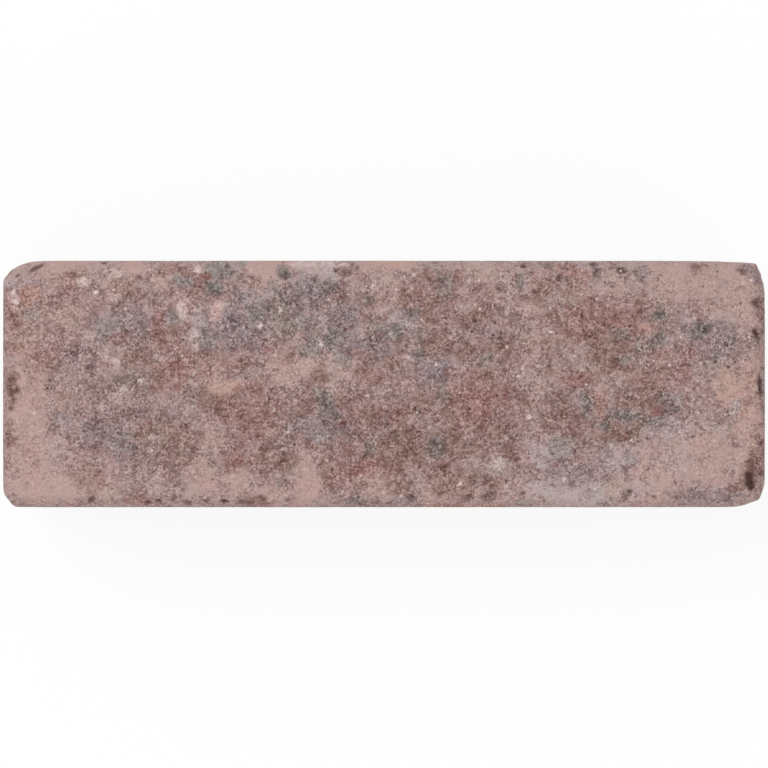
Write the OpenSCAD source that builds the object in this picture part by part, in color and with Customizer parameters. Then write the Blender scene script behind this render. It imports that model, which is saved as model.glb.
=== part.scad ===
// Tumbled concrete paving stone.
// One block, pressed in a steel mould and then rolled in a drum with others of its kind,
// which rounded its arrises, broke its corners and chipped its edges.
// Millimetres: +X runs along the length, +Y across the width, +Z up from the bed face.

/* [Stone] */
// Length of the stone
stone_length = 210; // [160:1:300]
// Width of the stone
stone_width = 68; // [56:1:120]
// Laid thickness, from the bed face to the wearing face
stone_height = 60; // [50:1:100]

/* [Worn arrises] */
// Radius that the drum left on every arris
arris_radius = 4; // [3:0.5:7]

/* [Broken corners] */
// Way each break faces, in degrees from the length: left back, right back, right front, left front
break_facing = [70, 17, 71, 39]; // [10:1:80]
// How deep each break goes into its worn upright arris, measured at the wearing face
break_depth = [1.6, 1.4, 1.3, 0.7]; // [0.5:0.1:3]
// Lean of each break in degrees, where more than 0 goes deeper towards the bed
break_lean = [0.8, -0.5, 1, 0.5]; // [-0.5:0.1:1.5]
// Way each second break faces, in degrees from the length: left back, right back, right front
second_facing = [41, 86, 24]; // [10:1:86]
// How deep each second break goes into its worn upright arris, measured at the wearing face
second_depth = [1.7, 0.6, 1.1]; // [0.5:0.1:3]
// Lean of each second break in degrees, where more than 0 goes deeper towards the bed
second_lean = [0.6, 0, 0.4]; // [-0.5:0.1:1.5]

/* [Knocked corners] */
// How deep the knock goes into each corner of the wearing face, in the order of the breaks
knock_top = [2, 0.8, 1.2, 0.7]; // [0.5:0.1:2.5]
// How deep the knock goes into each corner of the bed face, in the order of the breaks
knock_bed = [1.6, 1.1, 1.5, 0.9]; // [0.5:0.1:2.5]

/* [Chips] */
// Depth of a shallow chip in a worn arris
chip_shallow = 0.5; // [0.3:0.1:1]
// Depth of a plain chip in a worn arris
chip_plain = 0.8; // [0.3:0.1:1.5]
// Depth of a deep chip in a worn arris
chip_deep = 1.3; // [0.5:0.1:2]

/* [Blowhole] */
// Distance of the blowhole's middle from the right end
blowhole_from_end = 4.6; // [3:0.1:20]
// Distance of the blowhole's middle from the front face
blowhole_from_front = 7.8; // [5:0.1:20]
// Length of the blowhole across the stone
blowhole_length = 5.4; // [4:0.1:8]
// Width of the blowhole
blowhole_width = 2; // [1:0.1:3]

/* [Hidden] */

stone_colour = [0.62, 0.52, 0.50];

// Facets of a full turn on the worn arrises
arris_facets = 32;

half_length = stone_length / 2;
half_width = stone_width / 2;

// Half sizes of the core, whose corners are the centres of the worn corners
core_x = half_length - arris_radius;
core_y = half_width - arris_radius;
core_z_bed = arris_radius;
core_z_top = stone_height - arris_radius;

LEFT = -1;
RIGHT = 1;
FRONT = -1;
BACK = 1;
BED = -1;
TOP = 1;

// Upright arrises in the order that the breaks and knocks use, where the last has no second break
corners = [[LEFT, BACK], [RIGHT, BACK], [RIGHT, FRONT], [LEFT, FRONT]];

// How far a cutting block reaches beyond the stone on every side
overrun = 4 * arris_radius;

// Chips in the long arrises: side, level, the end that the distance is taken from,
// distance from that end, radius of the scoop and its depth
long_chips = [
    [BACK, TOP, LEFT, 14, 14, chip_shallow],
    [BACK, TOP, LEFT, 55, 8, chip_shallow],
    [BACK, TOP, RIGHT, 39, 7, chip_plain],
    [BACK, TOP, RIGHT, 72, 12, chip_shallow],
    [FRONT, TOP, LEFT, 44, 12, chip_plain],
    [FRONT, TOP, RIGHT, 76, 8, chip_plain],
    [FRONT, TOP, RIGHT, 34, 11, chip_shallow],
    [BACK, BED, LEFT, 36, 10, chip_plain],
    [BACK, BED, RIGHT, 58, 13, chip_deep],
    [FRONT, BED, LEFT, 66, 9, chip_shallow],
    [FRONT, BED, RIGHT, 27, 12, chip_plain]
];

// Chips in the end arrises: end, level, distance from the back face, radius of the scoop and its depth
end_chips = [
    [LEFT, TOP, 18, 8, chip_shallow],
    [LEFT, TOP, 39, 10, chip_shallow],
    [RIGHT, TOP, 12, 7, chip_plain],
    [RIGHT, TOP, 34, 8, chip_plain],
    [LEFT, BED, 28, 11, chip_deep],
    [RIGHT, BED, 42, 9, chip_plain]
];

// Chips in the upright arrises: end, side, height above the bed, radius of the scoop and its depth
upright_chips = [
    [LEFT, FRONT, 24, 9, chip_deep],
    [RIGHT, BACK, 30, 11, chip_deep],
    [RIGHT, FRONT, 18, 10, chip_deep]
];

function core_z(level) = level == TOP ? core_z_top : core_z_bed;

// Ball with points on all its axes, so that the flats between such balls keep the full size
module worn_corner() {
    rotate_extrude($fn = arris_facets)
        intersection() {
            circle(arris_radius, $fn = arris_facets);
            translate([0, -arris_radius])
                square([arris_radius, 2 * arris_radius]);
        }
}

// Block with every arris and corner worn to the same radius
module worn_block() {
    hull()
        for (end = [LEFT, RIGHT], side = [FRONT, BACK], level = [BED, TOP])
            translate([end * core_x, side * core_y, core_z(level)])
                worn_corner();
}

// Material beyond a flat break in an upright arris, from below the bed to above the wearing face
module corner_break(corner, facing, depth, lean) {
    end = corner[0];
    side = corner[1];
    translate([end * core_x, side * core_y, stone_height])
        rotate([0, 0, atan2(side * sin(facing), end * cos(facing))])
            translate([arris_radius - depth, 0, 0])
                rotate([0, lean, 0])
                    translate([0, -half_length, -stone_height - overrun])
                        cube([overrun, stone_length, stone_height + 2 * overrun]);
}

// Material beyond a flat knock that faces equally along the length, the width and the height
module corner_knock(corner, level, depth) {
    end = corner[0];
    side = corner[1];
    // steepness of a cube's own diagonal above its base
    slope = asin(1 / sqrt(3));
    translate([end * core_x, side * core_y, core_z(level)])
        rotate([0, 0, atan2(side, end)])
            rotate([0, -level * slope, 0])
                translate([arris_radius - depth, -overrun, -overrun])
                    cube(2 * overrun);
}

// Ball that scoops a chip of the given depth out of a worn arris.
// The arris curves about core_point, and outward is the diagonal between its two faces.
module scoop(core_point, outward, radius, depth) {
    away = outward / norm(outward);
    translate(core_point + (arris_radius - depth + radius) * away)
        sphere(radius, $fn = arris_facets);
}

module edge_chips() {
    for (chip = long_chips) {
        side = chip[0];
        level = chip[1];
        end = chip[2];
        along = half_length - chip[3];
        scoop([end * along, side * core_y, core_z(level)], [0, side, level], chip[4], chip[5]);
    }
    for (chip = end_chips) {
        end = chip[0];
        level = chip[1];
        across = half_width - chip[2];
        scoop([end * core_x, across, core_z(level)], [end, 0, level], chip[3], chip[4]);
    }
    for (chip = upright_chips) {
        end = chip[0];
        side = chip[1];
        scoop([end * core_x, side * core_y, chip[2]], [end, side, 0], chip[3], chip[4]);
    }
}

// Round-ended trough that an air bubble left in the wearing face
module blowhole() {
    radius = blowhole_width / 2;
    straight = blowhole_length - blowhole_width;
    translate([half_length - blowhole_from_end, blowhole_from_front - half_width, stone_height]) {
        rotate([90, 0, 0])
            cylinder(h = straight, r = radius, center = true, $fn = arris_facets);
        for (way = [FRONT, BACK])
            translate([0, way * straight / 2, 0])
                sphere(radius, $fn = arris_facets);
    }
}

module paving_stone() {
    color(stone_colour)
        difference() {
            worn_block();
            for (i = [0 : len(second_facing) - 1])
                corner_break(corners[i], second_facing[i], second_depth[i], second_lean[i]);
            for (i = [0 : len(corners) - 1]) {
                corner_break(corners[i], break_facing[i], break_depth[i], break_lean[i]);
                corner_knock(corners[i], TOP, knock_top[i]);
                corner_knock(corners[i], BED, knock_bed[i]);
            }
            edge_chips();
            blowhole();
        }
}

paving_stone();
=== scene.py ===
"""Looks of a tumbled concrete paving stone: its worn block, sandy relief and mottled finish."""

import itertools

import bpy
import numpy as np
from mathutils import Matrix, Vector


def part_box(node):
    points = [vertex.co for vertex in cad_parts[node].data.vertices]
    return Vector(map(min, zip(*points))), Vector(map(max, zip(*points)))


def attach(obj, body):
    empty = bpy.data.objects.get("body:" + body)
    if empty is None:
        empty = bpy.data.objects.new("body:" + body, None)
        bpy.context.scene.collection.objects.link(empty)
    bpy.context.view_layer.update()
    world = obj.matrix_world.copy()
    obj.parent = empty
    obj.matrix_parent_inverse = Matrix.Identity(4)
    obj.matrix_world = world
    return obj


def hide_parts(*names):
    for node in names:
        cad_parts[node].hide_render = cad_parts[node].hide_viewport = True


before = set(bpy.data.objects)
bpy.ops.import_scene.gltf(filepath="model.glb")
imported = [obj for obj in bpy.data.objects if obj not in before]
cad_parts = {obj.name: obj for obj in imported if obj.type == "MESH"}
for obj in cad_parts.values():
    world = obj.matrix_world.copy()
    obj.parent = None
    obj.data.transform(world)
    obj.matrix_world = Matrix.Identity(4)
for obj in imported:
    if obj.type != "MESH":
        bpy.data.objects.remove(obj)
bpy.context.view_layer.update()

# Units: lists of places and sizes are in millimetres, and MM turns them into metres
MM = 0.001

# Size of the stone, taken from its solid
STONE = "paving_stone"
LOW, HIGH = (np.array(corner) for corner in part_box(STONE))
LENGTH, WIDTH, HEIGHT = HIGH - LOW

# Worn block, with the values of its solid
ARRIS = 4 * MM
CORE_LOW = LOW + ARRIS
CORE_HIGH = HIGH - ARRIS
LEFT, RIGHT = -1, 1
FRONT, BACK = -1, 1
BED, TOP = -1, 1

# Broken corners: end, side, facing in degrees from the length, depth and lean in degrees
BREAKS = (
    (LEFT, BACK, 70, 1.6, 0.8),
    (LEFT, BACK, 41, 1.7, 0.6),
    (RIGHT, BACK, 17, 1.4, -0.5),
    (RIGHT, BACK, 86, 0.6, 0.0),
    (RIGHT, FRONT, 71, 1.3, 1.0),
    (RIGHT, FRONT, 24, 1.1, 0.4),
    (LEFT, FRONT, 39, 0.7, 0.5),
)

# Knocked corners: end, side, level and depth
KNOCKS = (
    (LEFT, BACK, TOP, 2.0),
    (RIGHT, BACK, TOP, 0.8),
    (RIGHT, FRONT, TOP, 1.2),
    (LEFT, FRONT, TOP, 0.7),
    (LEFT, BACK, BED, 1.6),
    (RIGHT, BACK, BED, 1.1),
    (RIGHT, FRONT, BED, 1.5),
    (LEFT, FRONT, BED, 0.9),
)

# Chips in the arrises
SHALLOW, PLAIN, DEEP = 0.5, 0.8, 1.3
# side, level, end that the distance is taken from, distance, radius of the scoop, depth
LONG_CHIPS = (
    (BACK, TOP, LEFT, 14, 14, SHALLOW),
    (BACK, TOP, LEFT, 55, 8, SHALLOW),
    (BACK, TOP, RIGHT, 39, 7, PLAIN),
    (BACK, TOP, RIGHT, 72, 12, SHALLOW),
    (FRONT, TOP, LEFT, 44, 12, PLAIN),
    (FRONT, TOP, RIGHT, 76, 8, PLAIN),
    (FRONT, TOP, RIGHT, 34, 11, SHALLOW),
    (BACK, BED, LEFT, 36, 10, PLAIN),
    (BACK, BED, RIGHT, 58, 13, DEEP),
    (FRONT, BED, LEFT, 66, 9, SHALLOW),
    (FRONT, BED, RIGHT, 27, 12, PLAIN),
)
# end, level, distance from the back face, radius of the scoop, depth
END_CHIPS = (
    (LEFT, TOP, 18, 8, SHALLOW),
    (LEFT, TOP, 39, 10, SHALLOW),
    (RIGHT, TOP, 12, 7, PLAIN),
    (RIGHT, TOP, 34, 8, PLAIN),
    (LEFT, BED, 28, 11, DEEP),
    (RIGHT, BED, 42, 9, PLAIN),
)
# end, side, height, radius of the scoop, depth
UPRIGHT_CHIPS = (
    (LEFT, FRONT, 24, 9, DEEP),
    (RIGHT, BACK, 30, 11, DEEP),
    (RIGHT, FRONT, 18, 10, DEEP),
)

# Small nicks that the drum left all along the arrises
NICKS = 150
NICK_RADIUS = (1.5, 4.5)
NICK_DEPTH = (0.15, 0.55)
NICK_SEED = 11

# Pits in the wearing face: x, y, half length, half width, turn in degrees, depth, painted shade darkness
PITS = (
    # Right end
    (100.6, -26.2, 3.0, 1.4, 95, 1.0, 0.95),
    (101.2, -21.5, 2.8, 1.8, 70, 0.35, 0.30),
    (102.2, 14.2, 1.3, 1.0, -40, 0.6, 0.95),
    (103.0, 12.6, 1.1, 0.6, -75, 0.4, 0.65),
    (102.1, 22.3, 1.2, 1.0, 20, 0.5, 0.65),
    (103.9, -0.2, 3.0, 0.8, 92, 0.5, 0.90),
    (104.2, -16.0, 1.0, 0.7, 90, 0.4, 0.65),
    (104.3, -24.4, 1.1, 0.7, 90, 0.4, 0.65),
    # Back arris, from the left
    (-101.0, 30.0, 1.0, 0.6, -25, 0.5, 0.70),
    (-95.0, 32.4, 2.5, 0.7, 25, 0.3, 0.75),
    (-85.0, 30.1, 0.9, 0.7, 60, 0.3, 0.40),
    (-76.9, 33.6, 1.0, 0.8, 0, 0.3, 0.85),
    (-67.0, 29.2, 0.7, 0.7, 0, 0.3, 0.50),
    (-43.0, 32.4, 0.9, 0.8, 0, 0.3, 0.50),
    (-26.7, 29.8, 0.9, 0.9, 0, 0.4, 0.40),
    (-8.6, 33.0, 1.3, 0.7, 65, 0.5, 0.45),
    (-7.4, 32.1, 0.9, 0.7, 80, 0.4, 0.65),
    (-10.2, 30.6, 1.6, 0.9, 0, 0.3, 0.45),
    (38.3, 32.7, 0.9, 0.8, 0, 0.3, 0.85),
    (45.0, 32.7, 1.2, 0.8, 0, 0.3, 0.50),
    (48.1, 29.3, 0.9, 0.9, 0, 0.4, 0.90),
    (57.4, 33.2, 1.2, 0.8, 0, 0.3, 0.80),
    (58.4, 29.6, 1.4, 2.4, 0, 0.3, 0.25),
    (62.4, 32.1, 0.8, 0.8, 0, 0.3, 0.50),
    (65.4, 31.5, 1.5, 1.2, 0, 0.6, 0.80),
    (85.8, 32.7, 1.8, 1.0, 0, 0.3, 0.45),
    (98.4, 31.1, 1.5, 0.9, -30, 0.5, 0.60),
    # Front arris, from the left
    (-80.3, -32.0, 1.4, 1.0, 60, 0.4, 0.70),
    (-64.8, -32.7, 1.0, 0.6, 10, 0.4, 0.85),
    (-62.0, -32.5, 0.9, 0.8, 0, 0.4, 0.88),
    (-58.0, -31.8, 0.7, 0.7, 0, 0.3, 0.50),
    (-53.8, -33.0, 1.1, 0.7, 0, 0.4, 0.65),
    (-48.8, -32.3, 0.9, 0.8, 0, 0.3, 0.60),
    (-43.8, -32.4, 1.0, 0.7, 0, 0.4, 0.85),
    (-38.2, -32.8, 2.6, 0.8, 0, 0.3, 0.50),
    (-33.3, -31.4, 1.6, 0.9, -20, 0.4, 0.35),
    (-26.4, -32.1, 1.0, 0.7, 0, 0.3, 0.50),
    (7.5, -31.4, 1.2, 1.2, 0, 0.4, 0.65),
    (23.0, -31.6, 0.9, 0.9, 0, 0.4, 0.45),
    (28.5, -30.6, 2.2, 0.9, 20, 0.4, 0.45),
    (38.1, -30.0, 1.0, 0.7, 0, 0.3, 0.55),
    (67.5, -29.6, 0.9, 0.8, 0, 0.3, 0.85),
    (66.6, -31.3, 1.1, 0.8, 30, 0.3, 0.45),
    (80.5, -31.2, 0.8, 0.8, 0, 0.3, 0.50),
    # Left end
    (-102.8, -6.7, 1.3, 0.7, -5, 0.4, 0.65),
    (-102.4, -2.6, 1.2, 1.3, 0, 0.3, 0.50),
    # Middle
    (-81.0, 4.6, 1.3, 0.9, 10, 0.5, 0.60),
    (-80.4, 2.6, 0.9, 0.6, 80, 0.35, 0.55),
    (-82.0, 0.8, 0.7, 0.7, 0, 0.3, 0.50),
    (31.5, 26.0, 1.1, 0.7, -50, 0.4, 0.55),
    (9.2, -7.2, 1.2, 0.6, -45, 0.35, 0.60),
    (10.6, -9.0, 0.7, 0.6, -45, 0.3, 0.50),
    (13.6, -16.2, 1.5, 0.7, -70, 0.35, 0.50),
    (67.6, -22.6, 0.9, 0.7, 0, 0.3, 0.55),
)
# Depth over which pits fade below the wearing face, and the painted shade in them as a screen shows it
PIT_REACH = 3 * MM
PIT_PAINTED_SHADE = (72, 48, 43)

# Finishes of the concrete: colour of its open grain, colour of the cement film over it, both as a
# screen shows them, and the share of the grain that the film covers
FINISHES = {
    "rose": ((131, 104, 100), (178, 152, 148), 0.50),
    "buff": ((151, 120, 113), (185, 155, 148), 0.85),
    "peach": ((155, 118, 107), (192, 157, 145), 0.80),
    "tan": ((145, 115, 108), (185, 157, 150), 0.66),
    "lilac": ((141, 121, 120), (184, 165, 163), 0.70),
    "pink": ((158, 122, 119), (203, 167, 162), 0.75),
    "pale": ((158, 134, 128), (211, 189, 182), 0.72),
    "mauve": ((121, 101, 102), (166, 147, 147), 0.46),
    "grey": ((101, 92, 89), (156, 147, 143), 0.45),
    "charcoal": ((82, 73, 71), (139, 130, 126), 0.38),
    "red": ((126, 85, 80), (175, 136, 130), 0.44),
    "oxblood": ((114, 68, 64), (156, 107, 102), 0.42),
    "brown": ((115, 84, 77), (163, 132, 124), 0.40),
    "rust": ((142, 100, 90), (186, 148, 137), 0.50),
}

# Clouds of other finishes in the wearing face, drawn in this order: finish, and x, y, half length,
# half width and strength of each oval, with its turn in degrees where it is turned
CLOUDS = (
    # Cement film on the left
    ("buff", (-99, -9, 6, 17, 0.9), (-91, -28, 15, 6, 0.85), (-92, -19, 5, 6, 0.85)),
    ("lilac", (-90, -19, 2, 5, 0.5)),
    ("buff", (-99, 12, 4, 8, 0.5)),
    ("tan", (-98, 13, 5, 3, 0.7), (-89, 19, 8, 3, 0.8), (-86, 14, 3, 3, 0.5), (-88, 29, 7, 3, 0.6),
     (-75, 27, 3, 4, 0.8)),
    ("buff", (-88, 33, 12, 2, 0.8), (-69, 32, 4, 3, 0.9)),
    ("tan", (-89, -4, 2, 3, 0.6), (-77, -14, 3, 2, 0.6), (-75, -31, 3, 4, 0.7), (-74, -25, 3, 3, 0.7),
     (-84, -27, 5, 3, 0.3), (-65, -18, 3, 6, 0.4), (-54, -19, 2, 6, 0.6, 10), (-60, -26, 4, 3, 0.5),
     (-52, -13, 2, 4, 0.6)),
    # Cement film in the middle, and between the clouds on the left
    ("tan", (-61, 28, 3, 4, 0.7), (-62, 10, 2, 3, 0.4)),
    ("lilac", (-51, 14, 2, 7, 0.8, -5)),
    ("buff", (-51, -26, 4, 7, 0.75, -20)),
    ("tan", (-46, -16, 4, 4, 0.7)),
    ("buff", (-40, -27, 4, 5, 0.85)),
    ("peach", (-44, -1, 6, 3, 0.7)),
    ("tan", (-48, 3, 4, 3, 0.5)),
    ("buff", (-32, 30, 4, 4, 0.95), (-32, 33, 12, 2, 0.9)),
    ("tan", (-25, 3, 10, 4, 0.85, 10), (-14, -2, 4, 3, 0.7), (-10, 4, 4, 3, 0.7), (-24, 14, 3, 2, 0.6)),
    ("lilac", (-15, 15, 3, 2, 0.5)),
    ("buff", (-21, -26, 4, 7, 0.85), (-28, -32, 10, 3, 0.6)),
    ("lilac", (-17, 31, 8, 3, 0.7)),
    ("buff", (-3, 33, 6, 3, 0.9)),
    ("tan", (1, 27, 3, 7, 0.75), (-1, -28, 6, 4, 0.8)),
    ("lilac", (6, 18, 5, 4, 0.7)),
    ("tan", (25, 31, 10, 3, 0.75)),
    ("lilac", (20, 5, 3, 4, 0.6)),
    ("tan", (28, -9, 2, 3, 0.8), (37, 1, 3, 2, 0.6), (43, -1, 2, 2, 0.7), (43, -7, 5, 2, 0.4),
     (40, 12, 3, 2, 0.7), (41, 21, 3, 3, 0.8)),
    ("lilac", (43, -20, 4, 5, 0.8)),
    ("tan", (48, -16, 2, 3, 0.6)),
    ("lilac", (50, -30, 17, 4, 0.85), (58, -33, 8, 2, 0.6)),
    ("tan", (15, -32, 5, 3, 0.7)),
    ("lilac", (43, -32, 5, 2, 0.6)),
    ("peach", (-46, 20, 2, 4, 0.7)),
    ("lilac", (-25, 23, 2, 2, 0.7), (-18, 18, 2, 3, 0.6)),
    ("tan", (-15, 6, 2, 2, 0.6), (-24, 10, 3, 2, 0.5), (-33, -15, 2, 2, 0.6)),
    ("lilac", (-12, -7, 3, 2, 0.3), (9, 14, 3, 2, 0.6)),
    ("tan", (34, 16, 2, 4, 0.5), (33, -25, 2, 2, 0.6), (36, -29, 2, 3, 0.6)),
    ("peach", (4, 33, 5, 2, 0.7)),
    ("lilac", (56, -27, 4, 2, 0.6)),
    ("tan", (-77, 6, 2, 2, 0.6), (-56, 1, 2, 2, 0.7), (-52, 8, 3, 2, 0.5), (-29, 20, 3, 2, 0.7),
     (-16, 5, 3, 3, 0.5), (-3, 24, 2, 3, 0.6), (8, 26, 2, 2, 0.6), (10, -8, 2, 2, 0.6),
     (22, -8, 2, 2, 0.6), (38, -20, 2, 2, 0.7), (38, -32, 8, 2, 0.6)),
    # Cement film on the right
    ("tan", (46, 31, 3, 3, 0.6), (52, 24, 6, 3, 0.7, -20), (62, 28, 6, 4, 0.6),
     (60, 20, 6, 2, 0.55, -25), (54, 12, 6, 2, 0.8), (53, 7, 3, 2, 0.5), (54, 2, 5, 2, 0.5),
     (67, 2, 4, 3, 0.7), (66, -9, 3, 2, 0.6), (70, -13, 3, 3, 0.5)),
    ("lilac", (65, -19, 7, 5, 0.7)),
    ("tan", (66, -28, 6, 3, 0.8), (70, 16, 3, 2, 0.5)),
    ("buff", (72, 33, 8, 2, 0.9), (85, 28, 14, 6, 0.75), (97, 22, 4, 7, 0.8), (100, 28, 5, 4, 0.8)),
    ("tan", (89, 20, 6, 3, 0.7)),
    ("buff", (83, 14, 3, 3, 0.4), (103, 7, 3, 4, 0.85)),
    ("tan", (93, 2, 3, 4, 0.7)),
    ("peach", (99, -2, 5, 7, 0.55)),
    ("buff", (100, -13, 5, 4, 0.85), (85, -21, 15, 9, 0.75)),
    ("lilac", (80, -22, 4, 4, 0.4), (78, -12, 7, 4, 0.6)),
    ("tan", (65, 25, 3, 2, 0.6)),
    ("buff", (74, -28, 4, 6, 0.8), (72, -34, 14, 2, 0.4), (90, 34, 14, 2, 0.6), (101, 17, 3, 3, 0.5)),
    ("peach", (94, -2, 3, 5, 0.8), (101, -9, 3, 3, 0.6), (100, -19, 3, 4, 0.5)),
    ("lilac", (82, 17, 3, 3, 0.4), (96, -6, 2, 2, 0.7), (81, -5, 2, 2, 0.6), (90, -12, 3, 2, 0.5),
     (56, 33, 3, 2, 0.6), (70, -29, 4, 3, 0.5)),
    ("tan", (77, 23, 3, 3, 0.6), (76, 7, 3, 2, 0.5), (86, -1, 4, 2, 0.7, 45), (54, 26, 4, 2, 0.6, -25)),
    ("buff", (105, -15, 2, 2, 0.6)),
    # First layer of grain, mostly red and rust
    ("red", (25, -4, 11, 9, 0.65), (-36, -8, 8, 10, 0.5), (13, 24, 5, 4, 0.5), (-58, 4, 7, 3, 0.75),
     (-61, 15, 3, 6, 0.6), (-53, 9, 8, 2, 0.5), (60, 17, 14, 6, 0.6), (74, 0, 7, 5, 0.4),
     (50, -10, 6, 4, 0.4), (-11, -25, 6, 4, 0.6), (-4, -23, 4, 3, 0.8), (53, 1, 6, 3, 0.5),
     (-43, 7, 4, 2, 0.4), (-28, 8, 3, 2, 0.4), (-40, -21, 4, 3, 0.5), (-4, 3, 4, 2, 0.5),
     (-3, -8, 3, 2, 0.5)),
    ("brown", (18, -9, 3, 2, 0.8)),
    ("red", (84, 8, 5, 2, 0.45), (-92, 7, 6, 4, 0.4), (105, -20, 2, 5, 0.6)),
    ("rust", (-97, 24, 4, 3, 0.8, 20), (-102, 18, 2, 4, 0.6), (-50, 5, 9, 3, 0.3), (-2, 1, 4, 2, 0.4),
     (60, -5, 2, 5, 0.6)),
    ("red", (-53, 30, 3, 3, 0.6), (-58, 31, 6, 2, 0.5), (-86, 27, 5, 4, 0.4), (-70, 16, 2, 3, 0.6),
     (-81, 17, 3, 2, 0.4)),
    ("rust", (-100, 10, 4, 2, 0.5)),
    ("tan", (-82, 4, 2, 3, 0.7)),
    ("red", (-60, 0, 4, 2, 0.6), (-38, 22, 2, 2, 0.5), (-8, -18, 4, 2, 0.4), (-68, -32, 4, 2, 0.7),
     (-43, -23, 2, 2, 0.5), (26, 12, 2, 2, 0.6), (51, 31, 3, 2, 0.7), (55, 28, 3, 4, 0.5),
     (19, 29, 2, 3, 0.6), (4, -9, 4, 3, 0.6), (34, -19, 2, 2, 0.5), (49, -23, 2, 2, 0.5),
     (89, 12, 2, 2, 0.5), (77, 8, 4, 2, 0.4), (96, -30, 3, 2, 0.7), (104, 20, 2, 4, 0.5),
     (2, -24, 4, 3, 0.5)),
    # Second layer of grain, mostly brown
    ("brown", (63, 11, 8, 4, 0.7), (64, 6, 5, 3, 0.9), (58, 7, 3, 2, 0.8), (70, 22, 2, 3, 0.7),
     (57, 22, 2, 2, 0.5), (25, 18, 5, 3, 0.7), (28, 25, 3, 3, 0.5), (17, 23, 3, 3, 0.6),
     (22, 9, 3, 2, 0.8), (32, 10, 3, 2, 0.8), (16, 12, 3, 3, 0.6), (12, 10, 2, 3, 0.6),
     (47, 18, 4, 2, 0.6), (48, 13, 2, 2, 0.6), (5, -18, 9, 6, 0.7), (10, -5, 3, 4, 0.6),
     (5, -28, 4, 3, 0.6), (19, -27, 6, 5, 0.75), (20, -17, 4, 5, 0.7), (25, -17, 2, 3, 0.8),
     (15, -13, 2, 2, 0.8), (30, -13, 4, 2, 0.8), (29, -26, 3, 3, 0.7), (35, -22, 3, 3, 0.7),
     (50, -8, 2, 4, 0.6), (57, -4, 2, 4, 0.4), (40, -5, 4, 2, 0.6), (45, 3, 2, 2, 0.6),
     (63, -14, 5, 3, 0.8), (68, -12, 3, 4, 0.6), (67, -5, 4, 2, 0.6), (72, -6, 3, 2, 0.9),
     (101, -25, 3, 5, 0.4), (-58, -18, 7, 5, 0.4), (-62, -12, 4, 2, 0.6), (-66, -13, 2, 4, 0.8, -30),
     (-53, -8, 2, 2, 0.5), (-78, -18, 3, 2, 0.6), (-82, -25, 4, 4, 0.5), (-46, -5, 3, 2, 0.8),
     (-27, -21, 5, 2, 0.85), (-15, -24, 3, 2, 0.6), (-22, -7, 3, 3, 0.8), (-11, -5, 3, 2, 0.8, -30),
     (-68, 7, 5, 2, 0.5), (-70, 26, 3, 2, 0.8), (-38, 7, 3, 2, 0.7)),
    ("grey", (-58, 18, 2, 2, 0.7)),
    ("brown", (-60, 3, 6, 3, 0.3), (-102, -1, 2, 5, 0.9), (-103, -14, 2, 4, 0.6), (-101, 19, 2, 3, 0.6),
     (-35, -33, 4, 2, 0.7), (-59, -12, 2, 3, 0.6), (2, 7, 5, 2, 0.9), (42, 26, 2, 4, 0.9, 10),
     (75, -1, 4, 2, 0.6, 30), (-57, 14, 2, 2, 0.6), (-34, -18, 3, 2, 0.6), (-35, -1, 2, 3, 0.5),
     (-78, 9, 2, 2, 0.5), (86, 32, 3, 2, 0.5), (5, 25, 2, 4, 0.8), (12, 19, 2, 5, 0.6),
     (-54, 15, 2, 2, 0.5), (-52, 25, 3, 2, 0.5), (-50, -3, 2, 5, 0.5), (-41, 11, 4, 2, 0.5),
     (12, 30, 4, 2, 0.7), (44, 27, 4, 2, 0.6), (66, 7, 2, 2, 0.8), (45, 11, 2, 3, 0.6),
     (60, -15, 2, 4, 0.6), (97, -29, 2, 2, 0.6), (30, -30, 4, 2, 0.5)),
    # Third layer of grain, mostly grey and mauve
    ("mauve", (-40, 16, 9, 7, 0.85)),
    ("charcoal", (-35, 20, 3, 3, 0.7)),
    ("grey", (-27, 20, 7, 8, 0.45)),
    ("mauve", (-38, 24, 5, 2, 0.9, -30)),
    ("brown", (-36, 28, 3, 2, 0.6)),
    ("grey", (-48, 12, 3, 3, 0.65), (-47, 27, 3, 2, 0.85), (-55, 28, 3, 2, 0.75), (-46, 31, 6, 3, 0.65)),
    ("mauve", (-20, 26, 7, 4, 0.9), (-11, 19, 4, 5, 0.8)),
    ("grey", (-22, 17, 3, 3, 0.5), (-14, 12, 6, 3, 0.7), (-20, 9, 4, 2, 0.6)),
    ("brown", (-18, 2, 3, 2, 0.8)),
    ("mauve", (-5, 10, 10, 3, 0.9)),
    ("brown", (-7, 8, 4, 2, 0.7)),
    ("grey", (3, 14, 3, 3, 0.8)),
    ("brown", (4, 11, 3, 2, 0.6)),
    ("grey", (9, 8, 4, 2, 0.6), (13, 4, 4, 3, 0.6), (-1, 16, 3, 2, 0.5)),
    ("mauve", (-76, 16, 6, 4, 0.8), (-67, 18, 4, 5, 0.7), (-84, 7, 7, 4, 0.4), (-79, -13, 8, 4, 0.6),
     (-88, -10, 3, 2, 0.6), (-72, -18, 4, 4, 0.6), (-58, -9, 6, 3, 0.3), (-18, -12, 8, 5, 0.85)),
    ("charcoal", (-16, -6, 4, 2, 0.5, -40)),
    ("grey", (-17, -3, 3, 2, 0.5)),
    ("brown", (-5, -8, 3, 3, 0.8)),
    ("charcoal", (-4, -17, 2, 3, 0.5), (14, -17, 3, 3, 0.6, 20)),
    ("mauve", (14, 3, 5, 4, 0.9)),
    ("grey", (16, -3, 2, 3, 0.5), (28, 6, 2, 2, 0.5), (17, 27, 3, 4, 0.5)),
    ("mauve", (27, 14, 7, 3, 0.3)),
    ("grey", (39, -33, 3, 2, 0.45)),
    ("mauve", (90, 13, 7, 6, 0.5)),
    ("grey", (87, 15, 3, 2, 0.6)),
    ("charcoal", (76, 19, 2, 2, 0.8), (75, 12, 3, 2, 0.65)),
    ("grey", (71, 11, 2, 2, 0.5), (66, -9, 4, 2, 0.7)),
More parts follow.
